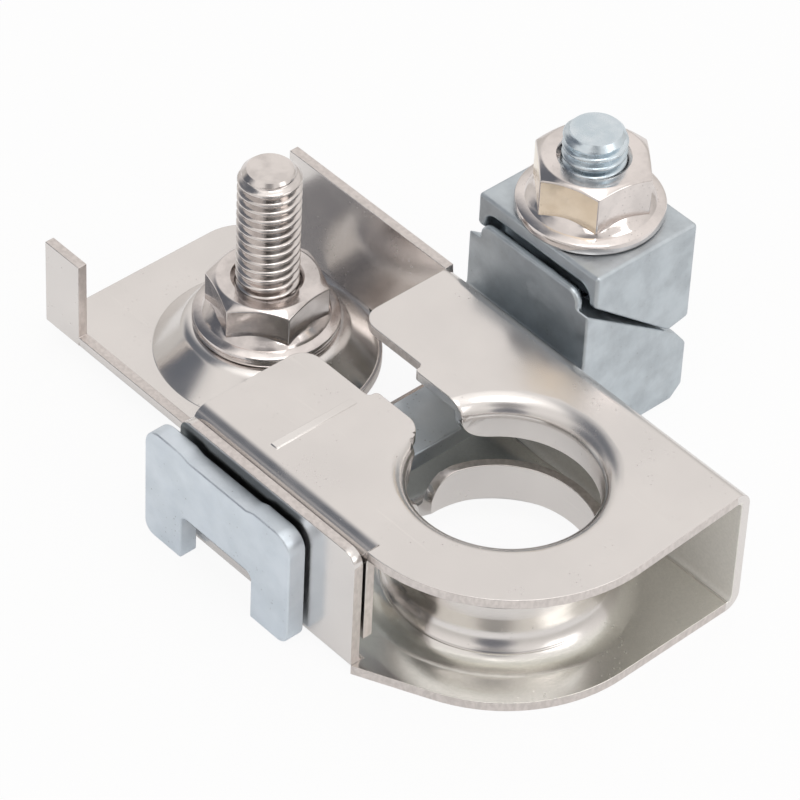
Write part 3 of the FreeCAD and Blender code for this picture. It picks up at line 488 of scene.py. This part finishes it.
def tinned_sheet():
    """Bright tin plating on rolled sheet, duller inside the box, with painted light: a lighter
    tint inside the box, painted shade behind the T-head and in the crease, and a painted highlight
    on the rib.
    """
    finish = Finish("tinned_sheet")
    tree = finish.tree
    x, y, z, reach = finish.parts()
    inside = finish.between(
        (x, -21, 30, 3), (y, -14.97, 13.8, 0.05), (z, -5.95, 5.95, 0.03), (reach, 11.2, 60, 0.8),
    )
    dull_wall = times(tree, inside, finish.between((y, 13.6, 14.0, 0.4)))
    # painted shade on the outer wall behind the T-head
    shade_behind_head = finish.between((x, -24.6, -7.4, 1.2), (y, -18, -17.2, 0.03), (z, 3.0, 6.5, 0.35))
    crease = finish.between((z, -4.95, -4.91, 0.09), (reach, 9.8, 11.0, 0.1))
    crease = times(tree, crease, finish.fall(y, -4.5, 0.5))
    # painted highlight along the rib's top, fading towards its +y end
    rib_highlight = finish.between((x, -15.3, -14.5, 0.15), (y, -13.5, -4.0, 0.2), (z, 6.9, 8.0, 0.02))
    rib_highlight = times(tree, rib_highlight, finish.fall(y, -12.5, -5))
    specks = finish.specks(2100.0, 0.5)
    scratches = use_group(tree, SCRATCHES, vector=finish.vector, amount=0.25)
    grain = finish.noise(5200.0, 2.0)

    base = finish.mix(finish.cloud(90.0, 4.0, 0.3, 0.7), *TIN)
    base = finish.mix(specks, base, TIN_SPECK)
    base = finish.mix(scratches, base, TIN_SCRATCH)
    # painted light: the tin is lighter inside the box, where it is also really duller
    inner = finish.mix(remap(tree, grain, 0.35, 0.65), *TIN_INSIDE_PAINTED_LIGHT)
    base = finish.mix(inside, base, inner)
    base = finish.mix(times(tree, rib_highlight, 0.6), base, RIB_HIGHLIGHT)
    # painted shade in the crease; the same mask also dents it with a bump
    base = finish.mix(times(tree, crease, 0.3), base, CREASE_SHADE)
    finish.colour(finish.mix(times(tree, shade_behind_head, 0.8), base, PAINTED_SHADE_BEHIND_HEAD))

    rough = finish.cloud(140.0, 3.0, 0.3, 0.7, 0.16, 0.27)
    rough = math_node(tree, "ADD", rough, times(tree, specks, 0.3))
    finish.roughness(math_node(tree, "ADD", rough, times(tree, dull_wall, 0.25)))
    dull = math_node(tree, "ADD", times(tree, inside, 0.14), times(tree, dull_wall, 0.65))
    finish.metallic(math_node(tree, "SUBTRACT", 1.0, dull))

    finish.bump(finish.noise(170.0, 2.0), 0.02, 0.5)
    finish.bump(finish.noise(3800.0, 2.0), 0.003, 0.5)
    finish.bump(times(tree, grain, dull_wall), 0.012, 0.5)
    finish.bump(crease, -0.04, 0.7)
    return finish.material


def sheared_edge():
    """Cut edge of the sheet: even and matt, with nicks, and slanted marks on the fold's ends."""
    finish = Finish("sheared_edge")
    tree = finish.tree
    grain = noise(tree, finish.stretched((2600.0, 2600.0, 1500.0)), 1.0, 3.0)
    base = finish.mix(remap(tree, grain, 0.3, 0.7), *CUT_STEEL)
    nicks = times(tree, finish.wear(0.12, 3200.0), 0.65)
    finish.colour(finish.mix(nicks, base, CUT_NICK))
    finish.roughness(remap(tree, grain, 0.3, 0.7, 0.36, 0.5))
    finish.bump(grain, 0.012, 0.7)
    _, y, z, _ = finish.parts()
    slant = times(tree, math_node(tree, "SUBTRACT", z, y), 14000.0)
    fold_ends = finish.between((y, -18, -14.8, 0.1), (z, -6.5, 6.2, 0.2))
    finish.bump(times(tree, math_node(tree, "SINE", slant), fold_ends), 0.02, 0.7)
    return finish.material


def nickel(name, pair, spots):
    """Nickel plating on the nuts."""
    finish = Finish(name)
    base = finish.mix(finish.cloud(320.0, 4.0, 0.35, 0.7), *pair)
    finish.colour(finish.mix(finish.specks(2600.0, spots), base, NICKEL_SPECK))
    finish.roughness(finish.cloud(420.0, 3.0, 0.35, 0.7, 0.09, 0.24))
    finish.bump(finish.noise(600.0, 3.0), 0.02, 0.5)
    finish.bump(finish.noise(3600.0, 2.0), 0.006, 0.4)
    return finish.material


def stud_steel():
    """Rolled thread of plain bright steel."""
    finish = Finish("stud_steel")
    finish.colour(finish.mix(finish.cloud(500.0, 4.0, 0.35, 0.7), *STUD_STEEL))
    finish.roughness(finish.cloud(800.0, 3.0, 0.35, 0.7, 0.14, 0.26))
    grain = noise(finish.tree, finish.stretched((2600.0, 2600.0, 900.0)), 1.0, 2.0)
    finish.bump(grain, 0.008, 0.5)
    return finish.material


def zinc(name, pair):
    """Matt zinc plating on pressed steel."""
    finish = Finish(name)
    tree = finish.tree
    base = finish.mix(remap(tree, finish.noise(260.0, 5.0, 0.6), 0.35, 0.68), *pair)
    wear = finish.wear(0.35, 1100.0)
    base = finish.mix(finish.specks(1900.0, 0.5), base, ZINC_SPECK)
    finish.colour(finish.mix(wear, base, ZINC_WORN))
    rough = finish.cloud(500.0, 4.0, 0.3, 0.7, 0.36, 0.52)
    finish.roughness(math_node(tree, "SUBTRACT", rough, times(tree, wear, 0.15)))
    finish.bump(finish.noise(420.0, 4.0), 0.07, 0.6)
    finish.bump(finish.noise(2400.0, 3.0), 0.012, 0.6)
    return finish.material


def bright_zinc():
    """Bluish bright zinc on the wedge bolt."""
    finish = Finish("bright_zinc")
    finish.colour(finish.mix(finish.cloud(420.0, 4.0, 0.35, 0.7), *BOLT_ZINC))
    finish.roughness(finish.cloud(700.0, 3.0, 0.35, 0.7, 0.2, 0.34))
    finish.bump(finish.noise(1200.0, 3.0), 0.015, 0.5)
    return finish.material


MATERIALS = {
    "sheet": tinned_sheet(),
    "rim": sheared_edge(),
    "nickel": nickel("nickel", NICKEL, 0.6),
    "dull_nickel": nickel("dull_nickel", DULL_NICKEL, 0.9),
    "nickel_gold_reflection": nickel("nickel_gold_reflection", GOLD_REFLECTION, 0.6),
    "stud": stud_steel(),
    "zinc": zinc("zinc", ZINC),
    "pale_zinc": zinc("pale_zinc", PALE_ZINC),
    "bolt": bright_zinc(),
}


def dress(piece, body, material, node):
    """Finish a piece and tie it to its body and the node it stands for."""
    piece.data.materials.clear()
    piece.data.materials.append(MATERIALS[material])
    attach(piece, body)
    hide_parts(node)


# Clamp sheet

RIM_SLACK = 0.02 * MM
LEVEL_SLACK = 0.01 * MM
FOLD_FRONT = -14.2 * MM


def paint_rims(piece):
    """Give the cut edges of the sheet their own material."""
    piece.data.materials.append(MATERIALS["rim"])
    mesh = piece.data
    bands = ((0, SHEET), (PLATE_LIFT, PLATE_LIFT + SHEET), (BOX_HEIGHT - SHEET, BOX_HEIGHT))
    for face in mesh.polygons:
        corners = [mesh.vertices[i].co for i in face.vertices]
        low = min(c.z for c in corners) - UNDERSIDE
        high = max(c.z for c in corners) - UNDERSIDE
        left, right = min(c.y for c in corners), max(c.y for c in corners)
        along = max(c.x for c in corners) - min(c.x for c in corners)
        reach = [c.xy.length for c in corners]
        thin = right - left < SHEET + RIM_SLACK
        upright = abs(face.normal.z) < 0.05
        in_band = any(low > a - RIM_SLACK and high < b + RIM_SLACK for a, b in bands)
        outside_bore = min(reach) > COLLAR_RADIUS + 2 * MM
        faces_along = abs(face.normal.x) > 0.99
        wall_end = faces_along and outside_bore and (thin or right < FOLD_FRONT)
        level = high - low < LEVEL_SLACK
        wall_top = level and face.normal.z > 0.99 and thin and along > 4 * MM
        between_plates = low > 3 * MM and high < BOX_HEIGHT - 1.2 * MM
        on_collar = abs(face.normal.z) > 0.5 and max(reach) < COLLAR_RADIUS + RIM_SLACK
        if (upright and in_band) or wall_end or wall_top or (between_plates and on_collar):
            face.material_index = 1


def soften_rib(piece):
    """Halve the stamped rib's height and round its edges."""
    only(piece)
    bpy.ops.object.mode_set(mode="EDIT")
    bpy.ops.mesh.select_all(action="DESELECT")
    bpy.ops.object.mode_set(mode="OBJECT")
    for vertex in piece.data.vertices:
        if vertex.co.z > BOX_TOP:
            vertex.co.z = BOX_TOP + 0.5 * (vertex.co.z - BOX_TOP)
    low, high = RIB_CORNERS
    for edge in piece.data.edges:
        ends = [piece.data.vertices[i].co for i in edge.vertices]
        on_rib = all(low.x < c.x < high.x and low.y < c.y < high.y for c in ends)
        on_top = all(c.z > BOX_TOP - LEVEL_SLACK for c in ends)
        edge.select = on_rib and on_top and abs(ends[0].z - ends[1].z) < LEVEL_SLACK
    bpy.ops.object.mode_set(mode="EDIT")
    bpy.ops.mesh.select_mode(type="EDGE")
    bpy.ops.mesh.bevel(offset=0.06 * MM, segments=4)
    bpy.ops.mesh.select_mode(type="VERT")
    bpy.ops.object.mode_set(mode="OBJECT")


def collar_end_place(corner):
    """The collar end that a point belongs to, with its distances along the rim and to the foot."""
    on_ring = 8.4 * MM < corner.xy.length < 9.7 * MM and corner.x < 0
    for edge, side, free, foot, radius in COLLAR_ENDS:
        along = (corner.y - edge) * side
        down = (corner.z - UNDERSIDE - free) * foot
        if on_ring and all(-0.1 * MM < way < radius + 0.05 * MM for way in (along, down)):
            return edge, side, free, foot, radius, along, down
    return None


def round_collar_ends(piece):
    """Turn the collars' hollow ends at the slot into rounded ones, and ease the collar's step."""
    for vertex in piece.data.vertices:
        place = collar_end_place(vertex.co)
        reach = vertex.co.xy.length
        above_step = vertex.co.z - UNDERSIDE - COLLAR_STEP_HEIGHT
        if place:
            edge, side, free, foot, radius, along, down = place
            if abs(math.hypot(along, down) - radius) < 0.04 * MM:
                across = edge + side * (radius - down)
                height = UNDERSIDE + free + foot * (radius - along)
                vertex.co = (-math.sqrt(reach ** 2 - across ** 2), across, height)
        elif abs(above_step) < 0.03 * MM and abs(reach - COLLAR_STEP_RADIUS) < 0.03 * MM:
            vertex.co.xy *= EASED_STEP_RADIUS / reach


def build_sheet():
    """The folded sheet with broken edges."""
    piece = copy_node("clamp_body", "folded_sheet", 0.04 * MM)
    dress(piece, "clamp", "sheet", "clamp_body")
    round_collar_ends(piece)
    paint_rims(piece)
    soften_rib(piece)
    break_edges(piece, 0.08 * MM)
    pull_in(piece, "clamp_body", 0.1 * MM, collar_end_place)
    smooth(piece, 40)


# Threads and nuts

PAST = 1 * MM  # how far a cutter reaches past the nut
SHORT = 0.02 * MM  # how far a thread stays below its solid's end


def threaded_rod(name, centre, low, high, chamfer):
    """Rod turned in fine rows, its skin drawn in along a helix, with a chamfered upper end."""
    rows = round((high - low) / THREAD_PITCH * ROWS_PER_PITCH)
    skin = [(THREAD_CREST, low + (high - low) * row / rows) for row in range(rows + 1)]
    rod = lathe(name, [(0, low), *skin, (0, high)], steps=72)
    for vertex in rod.data.vertices:
        place = vertex.co
        if place.xy.length < 0.5 * THREAD_CREST:
            continue
        turn = (place.z - low) / THREAD_PITCH - math.atan2(place.y, place.x) / math.tau
        fall = min(max((abs(turn % 1 - 0.5) - HALF_CREST) / FLANK, 0), 1)
        radius = THREAD_CREST - THREAD_DEPTH * fall * fall * (3 - 2 * fall)
        radius = min(radius, THREAD_CREST - max(place.z - high + chamfer, 0))
        place.xy *= radius / place.xy.length
    rod.location = centre
    return settle(rod)


def flange_nut(name, centre, seat, turn, height):
    """Hexagon nut with a flange, chamfered corners and a countersunk bore."""
    low = seat + NUT_SEAT
    top = low + height
    half = NUT_FLATS / 2
    corner = NUT_FLATS / math.sqrt(3)
    bpy.ops.object.select_all(action="DESELECT")
    bpy.ops.mesh.primitive_cylinder_add(
        vertices=6, radius=corner, depth=height, location=(0, 0, low + height / 2),
        rotation=(0, 0, math.radians(turn - 30)),
    )
    nut = settle(named(name))
    inset = half - 0.3 * MM
    reach = corner + PAST
    slope = math.tan(math.radians(30))
    chamfer = lathe(f"{name}_chamfer", [
        (0, low - PAST), (reach, low - PAST), (reach, top - (reach - inset) * slope),
        (inset, top), (0, top),
    ])
    combine(nut, chamfer, "INTERSECT")
    break_edges(nut, 0.11 * MM, 3, 20)
    edge = FLANGE_RADIUS
    flange = lathe(f"{name}_flange", [
        (0, low), (edge - 0.35 * MM, low), (edge - 0.1 * MM, low + 0.10 * MM),
        (edge, low + 0.35 * MM), (edge, low + 0.85 * MM), (edge - 0.07 * MM, low + 1.02 * MM),
        (edge - 0.22 * MM, low + 1.12 * MM), (edge - 0.9 * MM, low + 1.30 * MM),
        (half + 0.7 * MM, low + 1.58 * MM), (half + 0.3 * MM, low + 1.86 * MM),
        (half, low + 2.2 * MM), (half - 0.3 * MM, low + 2.7 * MM), (0, low + 2.7 * MM),
    ])
    combine(nut, flange, "UNION")
    bore = THREAD_CREST + 0.05 * MM
    sink = 0.4 * MM
    hole = lathe(f"{name}_bore", [
        (0, low - PAST), (bore + PAST + sink, low - PAST), (bore, low + sink),
        (bore, top - sink), (bore + PAST + sink, top + PAST), (0, top + PAST),
    ])
    combine(nut, hole, "DIFFERENCE")
    nut.location = centre
    settle(nut)
    smooth(nut, 28)
    return nut


def build_stud():
    """Cable stud with its thread above the boss and its pressed-in head below."""
    low, high = (corner.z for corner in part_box("cable_stud"))
    stud = threaded_rod("stud_thread", STUD_AXIS, BOSS_TOP - 0.5 * MM, high - SHORT, 0.8 * MM)
    head_top = BOSS_TOP - SHEET
    head = lathe("stud_head", [
        (0, low), (STUD_HEAD_RADIUS - 0.4 * MM, low), (STUD_HEAD_RADIUS, low + 0.3 * MM),
        (STUD_HEAD_RADIUS, head_top), (THREAD_CREST, head_top), (THREAD_CREST, BOSS_TOP),
        (0, BOSS_TOP),
    ], STUD_AXIS)
    combine(stud, head, "UNION")
    smooth(stud, 43)
    dress(stud, "clamp", "stud", "cable_stud")


def build_bolt():
    """Wedge bolt: threaded shank and square head under the bar."""
    low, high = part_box("wedge_bolt")
    start = low.z + BOLT_HEAD_HEIGHT - 0.5 * MM
    bolt = threaded_rod("wedge_bolt_thread", BOLT_AXIS, start, high.z - SHORT, 0.6 * MM)
    bpy.ops.object.select_all(action="DESELECT")
    size = Vector((high.x - low.x, high.y - low.y, BOLT_HEAD_HEIGHT))
    middle = Vector(((low.x + high.x) / 2, (low.y + high.y) / 2, low.z + BOLT_HEAD_HEIGHT / 2))
    bpy.ops.mesh.primitive_cube_add(size=1, location=middle, scale=size)
    head = settle(named("bolt_head"))
    break_edges(head, 0.3 * MM, 3)
    combine(bolt, head, "UNION")
    smooth(bolt, 43)
    dress(bolt, "puller", "bolt", "wedge_bolt")


def build_nuts():
    """The two flange nuts, with a painted golden reflection on the flat on the left of the wedge
    nut.
    """
    cable_nut = flange_nut("cable_flange_nut", STUD_AXIS, BOSS_TOP, 39.6, CABLE_NUT_HEIGHT)
    dress(cable_nut, "cable_nut", "dull_nickel", "cable_nut")
    wedge_nut = flange_nut("wedge_flange_nut", BOLT_AXIS, WEDGE_TOP, 21.2, NUT_HEIGHT)
    dress(wedge_nut, "wedge_nut", "nickel", "wedge_nut")
    # painted reflection: the large flats facing left of and towards the camera direction get the
    # golden tint
    wedge_nut.data.materials.append(MATERIALS["nickel_gold_reflection"])
    right, _, back = camera_axes()
    for face in wedge_nut.data.polygons:
        flat = abs(face.normal.z) < 0.1 and face.area > 5 * MM * MM
        face.material_index = int(flat and face.normal.dot(right) < 0 < face.normal.dot(back))


# Bar and blocks

def build_zinc_pieces():
    """Pull bar and wedge blocks with worn, rounded edges."""
    for node, name, body, width, material in (
        ("pull_bar", "hook_bar", "puller", 0.18 * MM, "pale_zinc"),
        ("lower_wedge", "lower_block", "clamp", 0.28 * MM, "zinc"),
        ("upper_wedge", "upper_block_piece", "upper_block", 0.38 * MM, "zinc"),
    ):
        piece = copy_node(node, name)
        break_edges(piece, width, 3)
        pull_in(piece, node, 0.3 * MM)
        smooth(piece, 40)
        dress(piece, body, material, node)


# Floor and light

HORIZON = (0.60, 0.58, 0.555)
TENT = (0.893, 0.865, 0.843)
OVERHEAD = (1.22, 1.19, 1.16)
DARK_LENS = (0.10, 0.10, 0.11)
DARK_CORNER = (0.09, 0.10, 0.13)
DARK_CARD = (0.10, 0.115, 0.145)
SEEN_WHITE = 0.92
MIRRORED_WHITE = 0.35
SOFTBOX_SIZE = 0.3
SOFTBOX_DISTANCE = 0.7


def floor_white():
    """Plain white floor that keeps a soft shadow."""
    material = bpy.data.materials.new("floor_white")
    material.use_nodes = True
    tree = material.node_tree
    shader = tree.nodes["Principled BSDF"]
    shader.inputs["Base Color"].default_value = (0.9, 0.9, 0.9, 1)
    shader.inputs["Roughness"].default_value = 0.9
    shader.inputs["Specular IOR Level"].default_value = 0.1
    glow = add_node(tree, "ShaderNodeEmission")
    glow.inputs["Color"].default_value = (1, 1, 1, 1)
    path = add_node(tree, "ShaderNodeLightPath")
    seen = times(tree, path.outputs["Is Camera Ray"], SEEN_WHITE)
    mirrored = times(tree, path.outputs["Is Glossy Ray"], MIRRORED_WHITE)
    mix = add_node(tree, "ShaderNodeMixShader")
    feed(tree, math_node(tree, "MAXIMUM", seen, mirrored), mix.inputs["Fac"])
    feed(tree, shader.outputs["BSDF"], mix.inputs[1])
    feed(tree, glow.outputs["Emission"], mix.inputs[2])
    feed(tree, mix.outputs["Shader"], tree.nodes["Material Output"].inputs["Surface"])
    return material


def add_floor():
    """White floor that the clamp lies on."""
    bpy.ops.object.select_all(action="DESELECT")
    bpy.ops.mesh.primitive_plane_add(size=6.0, location=(0, 0, UNDERSIDE))
    floor = settle(named("floor"))
    floor.data.materials.append(floor_white())


def round_patch(tree, direction, axis, inner, outer):
    """Factor that falls from 1 to 0 between two angles in degrees from an axis."""
    dot = add_node(tree, "ShaderNodeVectorMath", operation="DOT_PRODUCT")
    feed(tree, direction, dot.inputs[0])
    dot.inputs[1].default_value = Vector(axis).normalized()
    near_cosine = math.cos(math.radians(inner))
    far_cosine = math.cos(math.radians(outer))
    return remap(tree, dot.outputs["Value"], far_cosine, near_cosine)


def dark_card(tree, parts, direction):
    """Dark card over the rear left with soft edges, and a dark corner low on the left."""
    turn = math_node(tree, "ARCTAN2", parts["Z"], parts["Y"])
    top_edge = remap(tree, turn, math.radians(58), math.radians(98))
    left_edge = remap(tree, turn, math.radians(120), math.radians(150), 1.0, 0.0)
    rear_edge = remap(tree, parts["X"], -0.98, -0.86)
    front_edge = remap(tree, parts["X"], -0.44, -0.24, 1.0, 0.0)
    card = times(tree, times(tree, top_edge, left_edge), times(tree, rear_edge, front_edge))
    low_corner = round_patch(tree, direction, (-0.70, -0.66, 0.28), 14, 28)
    return math_node(tree, "MAXIMUM", card, low_corner)


def add_world():
    """White tent, brighter overhead and dimmer at the horizon, with dark things for the metal."""
    world = bpy.data.worlds.new("white_room")
    bpy.context.scene.world = world
    world.use_nodes = True
    tree = world.node_tree
    direction = add_node(tree, "ShaderNodeTexCoord").outputs["Generated"]
    separate = add_node(tree, "ShaderNodeSeparateXYZ")
    feed(tree, direction, separate.inputs[0])
    parts = separate.outputs
    colour = mix_colours(tree, remap(tree, parts["Z"], -0.05, 0.55), HORIZON, TENT)
    colour = mix_colours(tree, remap(tree, parts["Z"], 0.80, 0.97), colour, OVERHEAD)
    for shape, strength, shade in (
        (round_patch(tree, direction, camera_axes()[2], 6, 20), 0.7, DARK_LENS),
        (round_patch(tree, direction, (0.69, -0.68, 0.22), 9, 22), 0.85, DARK_CORNER),
        (dark_card(tree, parts, direction), 0.93, DARK_CARD),
    ):
        colour = mix_colours(tree, times(tree, shape, strength), colour, shade)
    seen = add_node(tree, "ShaderNodeLightPath").outputs["Is Camera Ray"]
    colour = mix_colours(tree, seen, colour, (1, 1, 1))
    feed(tree, colour, tree.nodes["Background"].inputs["Color"])


def add_light(name, direction, power):
    """Square softbox that looks at the clamp."""
    data = bpy.data.lights.new(name, "AREA")
    data.size = SOFTBOX_SIZE
    data.energy = power
    light = bpy.data.objects.new(name, data)
    aim = Vector(direction).normalized()
    light.location = CAMERA_TARGET + aim * SOFTBOX_DISTANCE
    light.rotation_euler = aim.to_track_quat("Z", "Y").to_euler()
    bpy.context.scene.collection.objects.link(light)


bpy.context.scene.view_settings.view_transform = "Standard"
add_camera()
add_world()
add_light("softbox_top", (0.25, -0.1, 1.0), 0.45)
add_light("softbox_right", (1.0, 0.3, 0.7), 0.4)
add_floor()
build_sheet()
build_stud()
build_bolt()
build_nuts()
build_zinc_pieces()
